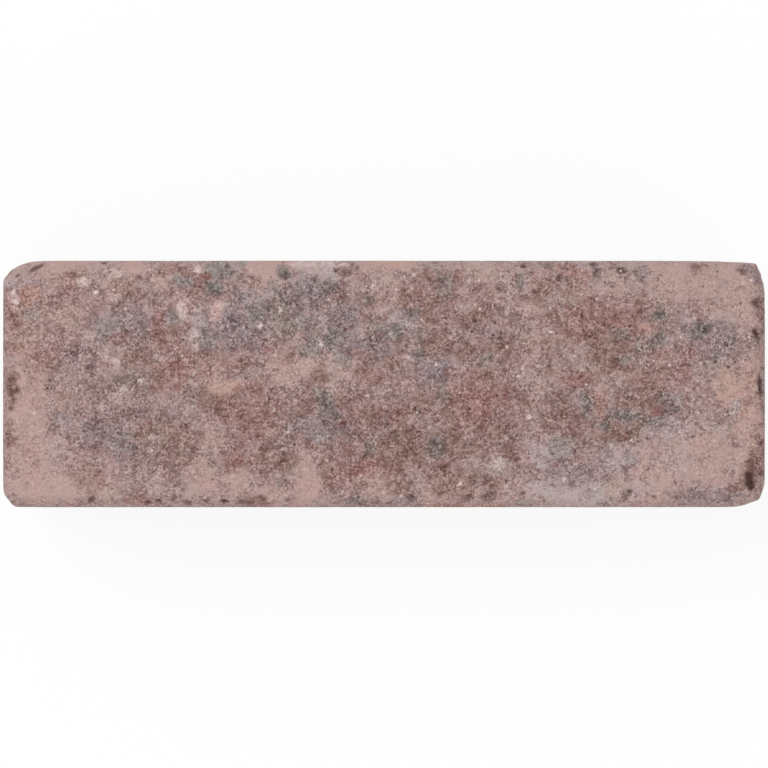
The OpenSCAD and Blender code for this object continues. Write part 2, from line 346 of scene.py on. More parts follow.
    ("charcoal", (79, -7, 4, 2, 0.6, 30)),
    ("grey", (78, -4, 4, 2, 0.5), (56, -5, 2, 4, 0.6), (49, -18, 4, 4, 0.45)),
    ("mauve", (52, -25, 8, 3, 0.75)),
    ("lilac", (31, -22, 5, 3, 0.6)),
    ("charcoal", (-71, 2, 6, 2, 0.4, 20)),
    ("mauve", (90, -31, 9, 3, 0.65), (101, 32, 4, 1, 0.5, -25)),
    ("brown", (-79, -28, 6, 2, 0.45, 57)),
    ("grey", (-40, 34, 2, 2, 0.8), (75, -10, 3, 2, 0.7), (68, -20, 2, 2, 0.35), (66, 7, 2, 2, 0.6),
     (67, 32, 3, 2, 0.3), (-76, 14, 3, 4, 0.25), (-97, 19, 2, 2, 0.4), (-11, 6, 3, 2, 0.5),
     (65, 14, 3, 2, 0.5), (-72, -17, 2, 4, 0.4)),
)
# Depth over which clouds fade below the wearing face, and a factor on the strength of all of them
CLOUD_REACH = 12 * MM
CLOUD_PULL = 1.12

# Film that rubbing spread over the long arrises, and painted light: places across the wearing face, and the
# cover added
# More cover on the back arris than on the front one is painted light, as if it fell from the back
RUBBED_AND_LIT_PLACES = (-34, -31, -30, -28, -20, 24, 27, 31, 32, 34)
RUBBED_FILM_AND_LIGHT = (0.09, 0.08, 0.12, 0.05, 0.00, 0.00, 0.06, 0.12, 0.19, 0.24)

# Single spots and grains in the wearing face, as the clouds are given
SPOTS = (
    ("lilac", (-102.5, 28.5, 2.6, 1.9, 0.9, 30)),
    ("pink", (-46.0, 20.0, 1.8, 2.8, 0.8, -20)),
    ("pale", (-18.0, 33.2, 8.0, 0.9, 0.6)),
    # This thin rust line along the front edge is painted shade where the edge turns down
    ("rust", (22.0, -34.0, 14.0, 0.7, 0.7)),
    ("pink", (-102.0, 22.8, 1.8, 2.4, 0.75)),
    ("pale", (-83.0, 28.0, 1.8, 1.5, 0.75), (-74.0, 30.5, 2.5, 1.4, 0.5), (-73.5, 24.5, 2.2, 1.2, 0.5),
     (-51.2, 31.9, 1.1, 1.4, 0.95), (-55.4, 20.2, 1.5, 2.4, 0.75, 10), (-81.0, 13.5, 1.6, 1.2, 0.5),
     (-77.0, 8.0, 1.5, 1.9, 0.5), (-73.5, 6.0, 1.2, 1.6, 0.45), (-66.5, 14.0, 1.9, 1.0, 0.35),
     (-52.0, 12.0, 1.4, 3.4, 0.45), (-72.0, -3.0, 1.9, 2.3, 0.4), (-77.0, -6.0, 1.5, 1.4, 0.35),
     (-77.5, -21.0, 2.1, 0.5, 0.55, 8), (-64.0, -14.5, 1.7, 0.6, 0.5), (-44.5, 22.0, 2.1, 0.8, 0.4),
     (22.5, 21.0, 3.0, 1.2, 0.4, 15), (31.0, -21.8, 2.6, 1.2, 0.4, 20), (72.3, 4.2, 0.9, 0.7, 0.5),
     (81.0, -5.4, 1.4, 1.0, 0.4)),
    ("rust", (72.0, 15.4, 2.4, 1.4, 0.6)),
    ("oxblood", (-49.0, 29.5, 2.0, 1.1, 0.75), (-73.0, 12.4, 2.6, 1.6, 0.45),
     (-40.0, -21.0, 1.4, 1.8, 0.5), (-11.5, -10.6, 0.9, 0.9, 0.8), (17.9, 3.5, 1.7, 1.1, 0.6),
     (52.0, 1.5, 3.2, 0.8, 0.5, 10), (47.5, -3.0, 2.0, 0.7, 0.45), (75.0, -7.6, 2.2, 1.5, 0.6),
     (82.5, 3.2, 1.8, 2.6, 0.45), (33.2, -3.4, 1.4, 1.4, 0.45), (-32.0, 9.4, 1.4, 1.0, 0.5),
     (-103.0, -16.2, 1.3, 1.0, 0.45)),
    ("mauve", (71.0, 31.0, 1.8, 2.6, 0.8), (101.2, 30.4, 3.4, 1.8, 0.75, -45)),
    ("charcoal", (-27.8, 30.8, 1.7, 2.4, 0.75, 20), (-15.0, 26.5, 2.4, 1.6, 0.6),
     (-4.2, 23.2, 1.9, 1.8, 0.5), (44.5, 33.5, 2.5, 1.2, 0.35), (8.0, 19.6, 2.6, 1.2, 0.55),
     (3.4, 15.4, 1.6, 1.6, 0.55), (87.8, 15.4, 2.2, 1.2, 0.55), (95.2, 12.2, 1.4, 1.2, 0.25),
     (60.6, -12.0, 1.6, 1.6, 0.6), (37.4, 28.0, 1.2, 2.4, 0.5, 10), (58.6, 31.0, 1.2, 2.0, 0.5),
     (-28.2, -27.0, 1.6, 1.5, 0.55), (-8.0, -32.0, 3.6, 1.2, 0.5)),
    ("brown", (-11.0, 31.0, 2.5, 1.5, 0.8), (-92.0, 6.6, 1.2, 1.6, 0.5), (-32.0, -18.2, 1.4, 1.2, 0.6),
     (-102.6, -0.8, 1.6, 2.6, 0.6), (101.4, -20.8, 1.8, 2.4, 0.5), (-96.8, -19.0, 1.2, 1.2, 0.45)),
)

# Bare white grains in the wearing face: x, y and radius
WHITE_GRAINS = (
    (-102.1, 25.2, 0.65), (-101.2, 22.7, 0.75), (-79.3, 25.3, 0.5), (-67.0, 1.0, 0.6),
    (-28.5, 20.5, 0.55), (-17.3, 10.8, 0.55), (-34.0, 16.0, 0.6), (-30.0, 8.0, 0.45),
    (-30.3, -7.0, 0.45), (-3.0, 27.2, 0.55), (2.0, 13.8, 0.5), (6.8, 7.4, 0.5),
    (14.2, 5.6, 0.4), (9.3, -6.8, 0.45), (-4.5, -3.2, 0.35), (4.6, -30.7, 0.4),
    (21.0, -27.3, 0.45), (8.2, 30.0, 0.4), (45.9, 14.3, 0.45), (39.8, -9.0, 0.6),
    (37.0, 2.0, 0.5), (38.2, 4.5, 0.4), (49.5, -26.3, 0.4), (68.0, -15.4, 0.4),
    (86.5, -12.7, 0.45), (87.0, 5.9, 0.35),
)
# Their colour as a screen shows it, and the share of it that they get
WHITE_GRAIN = (228, 209, 201)
GRAIN_PULL = 0.9

# Edges of ovals, where 1 is the stated edge: the distance where they have faded out, the width of
# the fade, and how far a ragged field moves it
PIT_EDGE = (1.25, 0.6, 0.5)
CLOUD_EDGE = (1.3, 0.75, 0.6)
SPOT_EDGE = (1.3, 0.6, 0.3)
GRAIN_EDGE = (1.3, 0.6, 1 / 3)
# Share of the clouds' bend that spots have
SPOT_BEND = 0.25

# Random fields: weight, size of the lumps and seed of each layer
BREAK_ROUGH = ((0.20, 2.6, 21), (0.12, 1.2, 22))
COOL_FIELD = ((1.0, 26, 31), (0.7, 11, 32), (0.5, 5, 33))
LIGHT_FIELD = ((1.0, 34, 34), (0.7, 13, 35), (0.4, 4, 36))
RAGGED_FIELD = ((0.9, 2.6, 41), (0.8, 1.3, 42))
BEND_FIELDS = tuple(((0.7, 9, 43 + axis), (0.7, 3.5, 46 + axis)) for axis in range(3))
COVER_FIELD = ((0.12, 7, 51), (0.12, 3, 52), (0.10, 1.5, 53))
WARM_FIELD = ((0.6, 6, 54), (0.6, 2.5, 55), (0.4, 1.2, 56))
YELLOW_FIELD = ((0.6, 8, 57), (0.6, 3, 58))
GRIT_FIELD = ((1.0, 1.1, 61),)
SWELL_FIELD = ((1.0, 7, 62),)
HOLLOW_FIELD = ((1.0, 2.2, 63),)
RUBBED_FIELD = ((1.0, 4, 64),)

# Turns of the body's finish: finish, field, slope and start of its share, and the pull of them all
BODY_TURNS = (
    ("red", "cool", -1.1, -0.1),
    ("mauve", "cool", 1.2, -0.1),
    ("grey", "cool", 1.4, -0.8),
    ("buff", "light", 1.3, 0.0),
)
BODY_PULL = 0.8
# Share of plain rose that lies over the body in the wearing face, under its clouds
FACE_PULL = 0.7
# How far the warm field moves red and green, and the yellow field blue
WARM_RED, WARM_GREEN, YELLOW_BLUE = 0.04, -0.02, -0.03

# Columns of a finish: linear colours of the grain and of the film, and the film's cover
GRAIN, FILM, COLOURS = slice(0, 3), slice(3, 6), slice(0, 6)
COVER = 6
REDS, GREENS, BLUES = (slice(channel, 6, 3) for channel in range(3))

# Depths of the relief: broad swell, grit and hollows of open grain, and rubbed arrises
SWELL_DEPTH = 0.05 * MM
GRIT_DEPTH = 0.14 * MM
HOLLOW_DEPTH = 0.12 * MM
RUBBED_DEPTH = 0.10 * MM
# Share of the relief that upright faces have, and how fast an arris begins at a flat face
SIDE_RELIEF = 0.4
ARRIS_FADE = 0.3
# Width over which cuts ease into the face round them, and how far outside its ball a scoop acts
BREAK_EASE = 0.5 * MM
SCOOP_EASE = 0.12 * MM
SCOOP_MARGIN = 2 * MM

# Grid of the skin: cells along and across the bed face, twice as many on the wearing face
CELLS_LONG, CELLS_WIDE = 198, 64
FINE_ROWS = 9
COARSE_ROWS = 44
FINE_DEPTH = 4.6 * MM
COARSE_START = 5.4 * MM
# Points of two sheets that are the same to this step are made one
MERGE_STEP = MM / 1000

# Sheet that the six faces are laid out on: wearing face, bed face, front, back, left and right end.
# Axis and flip across, axis and flip up, and the left, low, width and height of its place
ACROSS_X, ACROSS_Y = (0, False), (1, False)
BACK_X, BACK_Y = (0, True), (1, True)
UP_Y, DOWN_Y, UP_Z = (1, False), (1, True), (2, False)
SHEET = (
    (ACROSS_X, UP_Y, 0.005, 0.005, 0.990, 0.320),
    (ACROSS_X, DOWN_Y, 0.005, 0.335, 0.715, 0.230),
    (ACROSS_X, UP_Z, 0.005, 0.575, 0.715, 0.204),
    (BACK_X, UP_Z, 0.005, 0.789, 0.715, 0.204),
    (BACK_Y, UP_Z, 0.730, 0.575, 0.230, 0.204),
    (ACROSS_Y, UP_Z, 0.730, 0.789, 0.230, 0.204),
)

# Sizes of the cells that hold sand, pores, specks and holes
SAND_SIZE, PORE_SIZE, SPECK_SIZE, HOLE_SIZE = 0.7 * MM, 1.3 * MM, 2.6 * MM, 3.4 * MM
# Noises of the surface: size of the features, detail and roughness
FINE_NOISE = (0.54 * MM, 1.0, 0.5)
PATCH_NOISE = (3.2 * MM, 3.0, 0.7)
STRAND_NOISE = (2.6 * MM, 1.0, 0.5)
RUBBING_NOISE = (5.0 * MM, 1.0, 0.5)
# Ramps: the value where each starts and the one where it is full
RUBBING_RAMP = (-0.3, 0.3)
STRAND_RAMP = (0.05, 0.0)
GAP_RAMP = (0.40, 0.65)
FILM_RAMP = (0.05, 0.95)
RED_RAMP = (0.88, 0.90)
BLACK_RAMP = (0.90, 0.92)
# Dots in cells: how far fine noise bends them, the ramp over their distance, and the one over the draw
# that decides which cells have a dot
PORE_DOTS = (0.35, (0.28, 0.14), (0.40, 0.55))
HOLE_DOTS = (0.20, (0.15, 0.08), (0.55, 0.80))
SPECK_DOTS = (0.40, (0.30, 0.08), (0.55, 0.90))
BRIGHT_DOTS = (0.10, (0.17, 0.08), (0.90, 0.92))
# Weights of what makes the film's edge, the tone of dots and the bump
FILM_WEIGHTS = {"patches": 1.4, "grain": 0.3, "fine": 0.7, "strand": 0.2}
TONE_WEIGHTS = {"fine": 1.3, "grain": 0.35, "gap": -0.2}
HEIGHT_WEIGHTS = {"fine": 0.8, "film": 0.5, "gap": -0.2, "pore": -1.0, "hole": -1.5}
# Strengths: what bare grain adds and the strength on full film, or what rubbing adds and the one without
TONE_BARE = (0.9, 0.3)
TONE_RUBBED = (1.2, 0.4)
PORE_BARE = (0.8, 0.1)
# How far a dot's tone moves each channel, and its level, which keep the hue as a screen shows it
TONES = {"Red": (0.90, 1.010), "Green": (1.06, 1.025), "Blue": (1.10, 1.035)}
# Colours of red sand and light specks as a screen shows them, and the share of each kind of dot
RED_SAND = (140, 96, 88)
SPECK = (210, 185, 180)
RED_SHARE, BLACK_SHARE, HOLE_SHARE, SPECK_SHARE, BRIGHT_SHARE = 0.4, 0.5, 0.8, 0.5, 0.8
# What dark dots leave of the colour round them: black sand its own colour, pores and holes painted shade
BLACK_SAND = (0.40, 0.33, 0.31, 1.0)
PORE_SHADE = (0.30, 0.23, 0.215, 1.0)
HOLE_SHADE = (0.34, 0.265, 0.245, 1.0)
# Bump, shine, and roughness of bare grain with what film takes off it
BUMP_STRENGTH, BUMP_DEPTH = 0.6, 0.25 * MM
SHINE = 0.25
ROUGHNESS, FILM_SMOOTHING = 0.95, -0.12

# Studio, in metres and watts: half width of the floor, its own glow as the camera sees it, and the
# light all round
WHITE = (1.0, 1.0, 1.0, 1.0)
FLOOR_REACH = 3.0
FLOOR_GLOW = 0.88
AMBIENT = 0.58
# Soft lights: name, place and power, and the width of each
LIGHTS = (("key", (-0.8, 0.5, 1.5), 14), ("fill", (0.9, -1.1, 1.1), 5))
LIGHT_WIDTH = 1.2
# Camera: pixels of the photograph's frame and of the stone's length in it, height above the core,
# sensor in millimetres and the furthest distance it sees
FRAME_PIXELS = 768
STONE_PIXELS = 762.4
CAMERA_DISTANCE = 1.5
SENSOR_WIDTH = 36
FAR_LIMIT = 20

# Lattice cells of a random field before it repeats
LATTICE = 64


def level_colour(levels):
    """Linear colour of one that a screen shows with these levels of 0 to 255, by the sRGB curve."""
    share = np.array(levels) / 255
    return np.where(share <= 0.04045, share / 12.92, ((share + 0.055) / 1.055) ** 2.4)


def unit(vectors):
    """Each vector divided by its own length."""
    return vectors / np.linalg.norm(vectors, axis=-1, keepdims=True)


def eased(share):
    """Smooth step: 0 below 0, 1 above 1, and three squares less two cubes between."""
    share = np.clip(share, 0, 1)
    return share * share * (3 - 2 * share)


def lumps(points, size, seed):
    """Smooth random field, mostly between -1 and 1, with lumps of the given size.

    Every corner of a turned cubic lattice has a random slope. The value at a point is the rise
    that the slopes at its cell's eight corners give there, faded into each other.
    """
    draw = np.random.default_rng(seed)
    turn = np.linalg.qr(draw.normal(size=(3, 3)))[0]
    slopes = draw.normal(size=(LATTICE, LATTICE, LATTICE, 3))
    place = points @ turn / size
    cell = np.floor(place).astype(int)
    within = place - cell
    fade = within**3 * (within * (within * 6 - 15) + 10)
    total = np.zeros(len(points))
    for corner in itertools.product((0, 1), repeat=3):
        at = (cell + corner) % LATTICE
        rise = (slopes[at[:, 0], at[:, 1], at[:, 2]] * (within - corner)).sum(1)
        total += rise * np.where(corner, fade, 1 - fade).prod(1)
    return total


def layered(points, layers):
    """Sum of random fields, each given by its weight, the size of its lumps and its seed."""
    return sum(weight * lumps(points, size * MM, seed) for weight, size, seed in layers)


def outline_ring(cells_long, cells_wide):
    """Points round the box's outline, from its left front corner past its right front one."""
    along = np.linspace(LOW[0], HIGH[0], cells_long + 1)
    across = np.linspace(LOW[1], HIGH[1], cells_wide + 1)
    front = np.stack([along[:-1], np.full(cells_long, LOW[1])], 1)
    right = np.stack([np.full(cells_wide, HIGH[0]), across[:-1]], 1)
    back = np.stack([along[:0:-1], np.full(cells_long, HIGH[1])], 1)
    left = np.stack([np.full(cells_wide, LOW[0]), across[:0:-1]], 1)
    return np.concatenate([front, right, back, left])


def flat_sheet(cells_long, cells_wide, height):
    """Level grid of points over the box's outline, and its index by column and row."""
    along = np.linspace(LOW[0], HIGH[0], cells_long + 1)
    across = np.linspace(LOW[1], HIGH[1], cells_wide + 1)
    x, y = np.meshgrid(along, across, indexing="ij")
    points = np.stack([x, y, np.full_like(x, height)], -1).reshape(-1, 3)
    return points, np.arange(len(points)).reshape(x.shape)


def wall_sheet(ring, heights):
    """Ring of points repeated at each height from the top down, and its index, closed round."""
    points = np.concatenate([np.c_[ring, np.full(len(ring), height)] for height in heights])
    index = np.arange(len(points)).reshape(len(heights), len(ring))
    return points, np.c_[index, index[:, :1]]


def quads_of(index):
    """Quads between neighbouring columns and rows of an index."""
    corners = (index[:-1, :-1], index[1:, :-1], index[1:, 1:], index[:-1, 1:])
    return np.stack(corners, -1).reshape(-1, 4)


def halving_triangles(fine, coarse):
    """Triangles between a closed row of points and one below it with half as many."""
    start, middle, end = fine[:-1:2], fine[1::2], fine[2::2]
    low, next_low = coarse[:-1], coarse[1:]
    fans = ((start, low, middle), (middle, low, next_low), (middle, next_low, end))
    return np.concatenate([np.stack(fan, 1) for fan in fans])


def box_skin():
    """Closed skin of the flat box: points, quads and triangles.

    The wearing face and the upper wall have cells half as wide as the rest, and one row of
    triangles joins the two. Sheets meet in shared points, which are then made one.
    """
    fine_ring = outline_ring(2 * CELLS_LONG, 2 * CELLS_WIDE)
    coarse_ring = outline_ring(CELLS_LONG, CELLS_WIDE)
    fine_heights = np.linspace(HIGH[2], HIGH[2] - FINE_DEPTH, FINE_ROWS + 1)
    coarse_heights = np.linspace(HIGH[2] - COARSE_START, LOW[2], COARSE_ROWS + 1)
    top, top_index = flat_sheet(2 * CELLS_LONG, 2 * CELLS_WIDE, HIGH[2])
    fine, fine_index = wall_sheet(fine_ring, fine_heights)
    coarse, coarse_index = wall_sheet(coarse_ring, coarse_heights)
    bed, bed_index = flat_sheet(CELLS_LONG, CELLS_WIDE, LOW[2])
    fine_index = fine_index + len(top)
    coarse_index = coarse_index + len(top) + len(fine)
    bed_index = bed_index + len(top) + len(fine) + len(coarse)
    sheets = (top_index, fine_index.T[::-1], coarse_index.T[::-1], bed_index[::-1])
    quads = np.concatenate([quads_of(index) for index in sheets])
    triangles = halving_triangles(fine_index[-1], coarse_index[0])
    points = np.concatenate([top, fine, coarse, bed])
    steps = np.round(points / MERGE_STEP).astype(int)
    _, first, shared = np.unique(steps, axis=0, return_index=True, return_inverse=True)
    shared = shared.ravel()
    return points[first], shared[quads], shared[triangles]


def worn(points):
    """Rounds the flat box's arrises, and gives each point's outward direction.

    A point moves along the line from the nearest point of the core until it is one arris
    radius away from that point.
    """
    core = np.clip(points, CORE_LOW, CORE_HIGH)
    outward = unit(points - core)
    return core + ARRIS * outward, outward


def core_corner(end, side, level):
    """Corner of the core, where the worn corner's ball has its middle."""
    ways = np.array([end, side, level])
    return np.where(ways > 0, CORE_HIGH, CORE_LOW)


def cut_flat(points, foot, facing, rough):
    """Pushes what lies beyond a rough plane back onto it, with an eased edge."""
    beyond = (points - foot) @ facing + rough
    back = (beyond + np.sqrt(beyond**2 + BREAK_EASE**2)) / 2
    return points - back[:, None] * facing


def cut_scoop(points, middle, radius, rough):
    """Pushes what lies inside a rough ball out to its surface, with an eased edge."""
    away = points - middle
    distance = np.linalg.norm(away, axis=1)
    inside = radius + rough - distance
    push = (inside + np.sqrt(inside**2 + SCOOP_EASE**2)) / 2
    near = distance < radius + SCOOP_MARGIN
    return points + np.where(near, push / distance, 0)[:, None] * away


def break_planes():
    """Foot and outward direction of each broken and knocked corner's plane."""
    for end, side, facing, depth, lean in BREAKS:
        turn = np.radians(facing)
        level = np.array([end * np.cos(turn), side * np.sin(turn), 0])
        foot = core_corner(end, side, TOP) + (ARRIS - depth * MM) * level
        foot[2] = HIGH[2]
        tip = np.radians(lean)
        yield foot, np.cos(tip) * level - np.sin(tip) * np.array([0, 0, 1])
    for end, side, level, depth in KNOCKS:
        diagonal = unit(np.array([end, side, level], float))
        yield core_corner(end, side, level) + (ARRIS - depth * MM) * diagonal, diagonal


def chip_scoops():
    """Place on the core, outward ways, radius and depth of each chip in an arris."""
    middle_x, middle_y = (LOW[0] + HIGH[0]) / 2, (LOW[1] + HIGH[1]) / 2
    for side, level, end, distance, radius, depth in LONG_CHIPS:
        spot = core_corner(end, side, level)
        spot[0] = middle_x + end * (LENGTH / 2 - distance * MM)
        yield spot, np.array([0, side, level]), radius, depth
    for end, level, distance, radius, depth in END_CHIPS:
        spot = core_corner(end, BACK, level)
        spot[1] = middle_y + WIDTH / 2 - distance * MM
        yield spot, np.array([end, 0, level]), radius, depth
    for end, side, height, radius, depth in UPRIGHT_CHIPS:
        spot = core_corner(end, side, BED)
        spot[2] = LOW[2] + height * MM
        yield spot, np.array([end, side, 0]), radius, depth


def nick_scoops():
    """Place on the core, ways, radius and depth of each nick, at random along random arrises."""
    draw = np.random.default_rng(NICK_SEED)
    shares = np.array([LENGTH, WIDTH, HEIGHT])
    for axis in draw.choice(3, NICKS, p=shares / shares.sum()):
        ways = draw.choice((-1, 1), 3)
        ways[axis] = 0
        spot = np.where(ways > 0, CORE_HIGH, CORE_LOW)
        spot[axis] = draw.uniform(LOW[axis], HIGH[axis])
        yield spot, ways, draw.uniform(*NICK_RADIUS), draw.uniform(*NICK_DEPTH)


def carved(points):
    """Breaks, knocks, chips and nicks the worn block, each with a rough broken surface."""
    rough = MM * layered(points, BREAK_ROUGH)
    for foot, facing in break_planes():
        points = cut_flat(points, foot, facing, rough)
    for spot, ways, radius, depth in itertools.chain(chip_scoops(), nick_scoops()):
        reach = ARRIS + (radius - depth) * MM
        points = cut_scoop(points, spot + reach * unit(ways.astype(float)), radius * MM, rough)
    return points


def oval_distance(points, x, y, half_long, half_wide, turn=0):
    """Distance from an oval's middle in its plane, where 1 is on its edge."""
    angle = np.radians(turn)
    off = points[:, :2] / MM - (x, y)
    along = off @ (np.cos(angle), np.sin(angle)) / half_long
    across = off @ (-np.sin(angle), np.cos(angle)) / half_wide
    return np.hypot(along, across)


def oval_share(distance, ragged, edge):
    """Share of an oval at each point: 1 inside it, fading to 0 round its ragged edge."""
    outer, fade, raggedness = edge
    return eased((outer - distance) / fade + raggedness * ragged)


def pitted(points, ragged):
    """Depth of the pits and darkness of the painted shade in them: each is an oval bowl, deepest in its
    middle.
    """
    depth = np.zeros(len(points))
    dark = np.zeros(len(points))
    below = (HIGH[2] - points[:, 2]) / PIT_REACH
    for *oval, deep, darkness in PITS:
        share = oval_share(np.hypot(oval_distance(points, *oval), below), ragged, PIT_EDGE)
        depth = np.maximum(depth, deep * MM * share)
        dark = np.maximum(dark, darkness * share)
    return depth, dark


def finish_row(name):
    """Linear grain colour, linear film colour and film cover of a finish, in one row."""
    grain, film, cover = FINISHES[name]
    return np.r_[level_colour(grain), level_colour(film), cover]


def laid_over(finish, name, share):
    """Finish of every point with another one mixed over it by each point's share."""
    share = share[:, None]
    return finish * (1 - share) + finish_row(name) * share


def tint(finish, levels, share):
    """Mixes one colour over the grain and the film of a finish, by each point's share."""
    colour = np.tile(level_colour(levels), 2)
    finish[:, COLOURS] += share[:, None] * (colour - finish[:, COLOURS])


def body_finish(points):
    """Finish of the concrete all through, from two broad random fields.

    One field turns it from red over rose to mauve and grey, and the other lightens it to buff.
    """
    fields = {"cool": layered(points, COOL_FIELD), "light": layered(points, LIGHT_FIELD)}
    finish = np.tile(finish_row("rose"), (len(points), 1))
    for name, field, slope, start in BODY_TURNS:
        finish = laid_over(finish, name, BODY_PULL * eased(slope * fields[field] + start))
    return finish


def drawn_over(finish, groups, points, on_top, ragged, edge, pull=1):
    """Finish with groups of ovals drawn over it, one by one in their order."""
    for name, *ovals in groups:
        for x, y, half_long, half_wide, strength, *turn in ovals:
            distance = oval_distance(points, x, y, half_long, half_wide, *turn)
            share = min(1, pull * strength) * on_top * oval_share(distance, ragged, edge)
            finish = laid_over(finish, name, share)
    return finish


def mottled(points):
    """Finish of every point: the body, then the wearing face's clouds, spots and white grains.

    A cloud is an oval whose edge is bent by broad and fine random fields, and which fades with
    its depth below the wearing face.
    """
    on_top = np.exp(-(((HIGH[2] - points[:, 2]) / CLOUD_REACH) ** 2))
    finish = laid_over(body_finish(points), "rose", FACE_PULL * on_top)
    ragged = layered(points, RAGGED_FIELD)
    bend = MM * np.stack([layered(points, layers) for layers in BEND_FIELDS], 1)
    finish = drawn_over(finish, CLOUDS, points + bend, on_top, ragged, CLOUD_EDGE, CLOUD_PULL)
    finish = drawn_over(finish, SPOTS, points + SPOT_BEND * bend, on_top, ragged, SPOT_EDGE)
    warm = layered(points, WARM_FIELD)[:, None]
    yellow = layered(points, YELLOW_FIELD)[:, None]
    finish[:, REDS] *= 1 + WARM_RED * warm
    finish[:, GREENS] *= 1 + WARM_GREEN * warm
    finish[:, BLUES] *= 1 + YELLOW_BLUE * yellow
    finish[:, COVER] += layered(points, COVER_FIELD)
    # Rubbed film on the long arrises, partly painted light that makes the back arris lighter than the front
    finish[:, COVER] += on_top * np.interp(points[:, 1] / MM, RUBBED_AND_LIT_PLACES, RUBBED_FILM_AND_LIGHT)
    for x, y, radius in WHITE_GRAINS:
        share = oval_share(oval_distance(points, x, y, radius, radius), ragged, GRAIN_EDGE)
        tint(finish, WHITE_GRAIN, GRAIN_PULL * on_top * share)
    return finish


def put_mesh(name, points, quads, triangles):
    """Mesh object of these points and faces, linked to the scene."""
    mesh = bpy.data.meshes.new(name)
    corners = np.concatenate([quads.ravel(), triangles.ravel()])
    sizes = np.repeat((4, 3), (len(quads), len(triangles)))
    mesh.vertices.add(len(points))
    mesh.vertices.foreach_set("co", points.ravel())
    mesh.loops.add(len(corners))
    mesh.loops.foreach_set("vertex_index", corners)
    mesh.polygons.add(len(sizes))
    mesh.polygons.foreach_set("loop_start", np.cumsum(sizes) - sizes)
    mesh.update(calc_edges=True)
    mesh.validate()
    mesh.shade_smooth()
    piece = bpy.data.objects.new(name, mesh)
    bpy.context.scene.collection.objects.link(piece)
    return piece


def keep_colour(mesh, name, colours):
    """Keeps a linear colour for every point of a mesh."""
    kept = mesh.attributes.new(name, "FLOAT_COLOR", "POINT")
    kept.data.foreach_set("color", np.c_[colours, np.ones(len(colours))].ravel())


def keep_number(mesh, name, numbers):
    """Keeps a number for every point of a mesh."""
    kept = mesh.attributes.new(name, "FLOAT", "POINT")
    kept.data.foreach_set("value", np.ascontiguousarray(numbers))


def lay_out(mesh, flat):
    """Lays the six faces of the flat box side by side on one sheet, the wearing face largest."""
    corners = np.zeros(len(mesh.loops), int)
    starts = np.zeros(len(mesh.polygons), int)
    sizes = np.zeros(len(mesh.polygons), int)
    mesh.loops.foreach_get("vertex_index", corners)
    mesh.polygons.foreach_get("loop_start", starts)
    mesh.polygons.foreach_get("loop_total", sizes)
    middles = np.add.reduceat(flat[corners], starts) / sizes[:, None]
    gaps = np.c_[HIGH[2] - middles[:, 2], middles[:, 2] - LOW[2], middles[:, 1] - LOW[1],
                 HIGH[1] - middles[:, 1], middles[:, 0] - LOW[0], HIGH[0] - middles[:, 0]]
    face = np.repeat(gaps.argmin(1), sizes)
    share = (flat[corners] - LOW) / (HIGH - LOW)
    places = np.zeros((len(corners), 2))
    for number, (across, up, left, low, wide, high) in enumerate(SHEET):
        here = face == number
        for column, (axis, flip) in enumerate((across, up)):
            along = share[here, axis]
            places[here, column] = 1 - along if flip else along
        places[here] = (left, low) + places[here] * (wide, high)
    sheet = mesh.uv_layers.new(name="OFBake")
    sheet.uv.foreach_set("vector", places.ravel())


def stone_block():
    """The whole stone as one piece.

    A flat box skin is worn round, roughened and pitted along its outward lines, and then carved.
    """
    flat, quads, triangles = box_skin()
    points, outward = worn(flat)
    finish = mottled(points)
    opened = 1 - np.clip(finish[:, COVER], 0, 1)
    arris = eased((1 - np.abs(outward).max(1)) / ARRIS_FADE)
    grit = layered(points, GRIT_FIELD)
    pit_depth, pit_dark = pitted(points, grit)
    relief = pit_depth + SWELL_DEPTH * (1 + layered(points, SWELL_FIELD))
    for depth, share, field in (
        (GRIT_DEPTH, opened, grit),
        (HOLLOW_DEPTH, opened, layered(points, HOLLOW_FIELD)),
        (RUBBED_DEPTH, arris, layered(points, RUBBED_FIELD)),
    ):
        relief += depth * share * np.clip(1 + field, 0, None)
    relief *= SIDE_RELIEF + (1 - SIDE_RELIEF) * np.abs(outward[:, 2])
    shaped = carved(points - relief[:, None] * outward)
    # Painted shade: the colour in the pits is darkened as shade in them would darken it
    tint(finish, PIT_PAINTED_SHADE, pit_dark)
    piece = put_mesh("stone_block", shaped, quads, triangles)
    keep_colour(piece.data, "grain_colour", finish[:, GRAIN])
    keep_colour(piece.data, "film_colour", finish[:, FILM])
    keep_number(piece.data, "film_cover", finish[:, COVER])
    lay_out(piece.data, flat)
    return piece


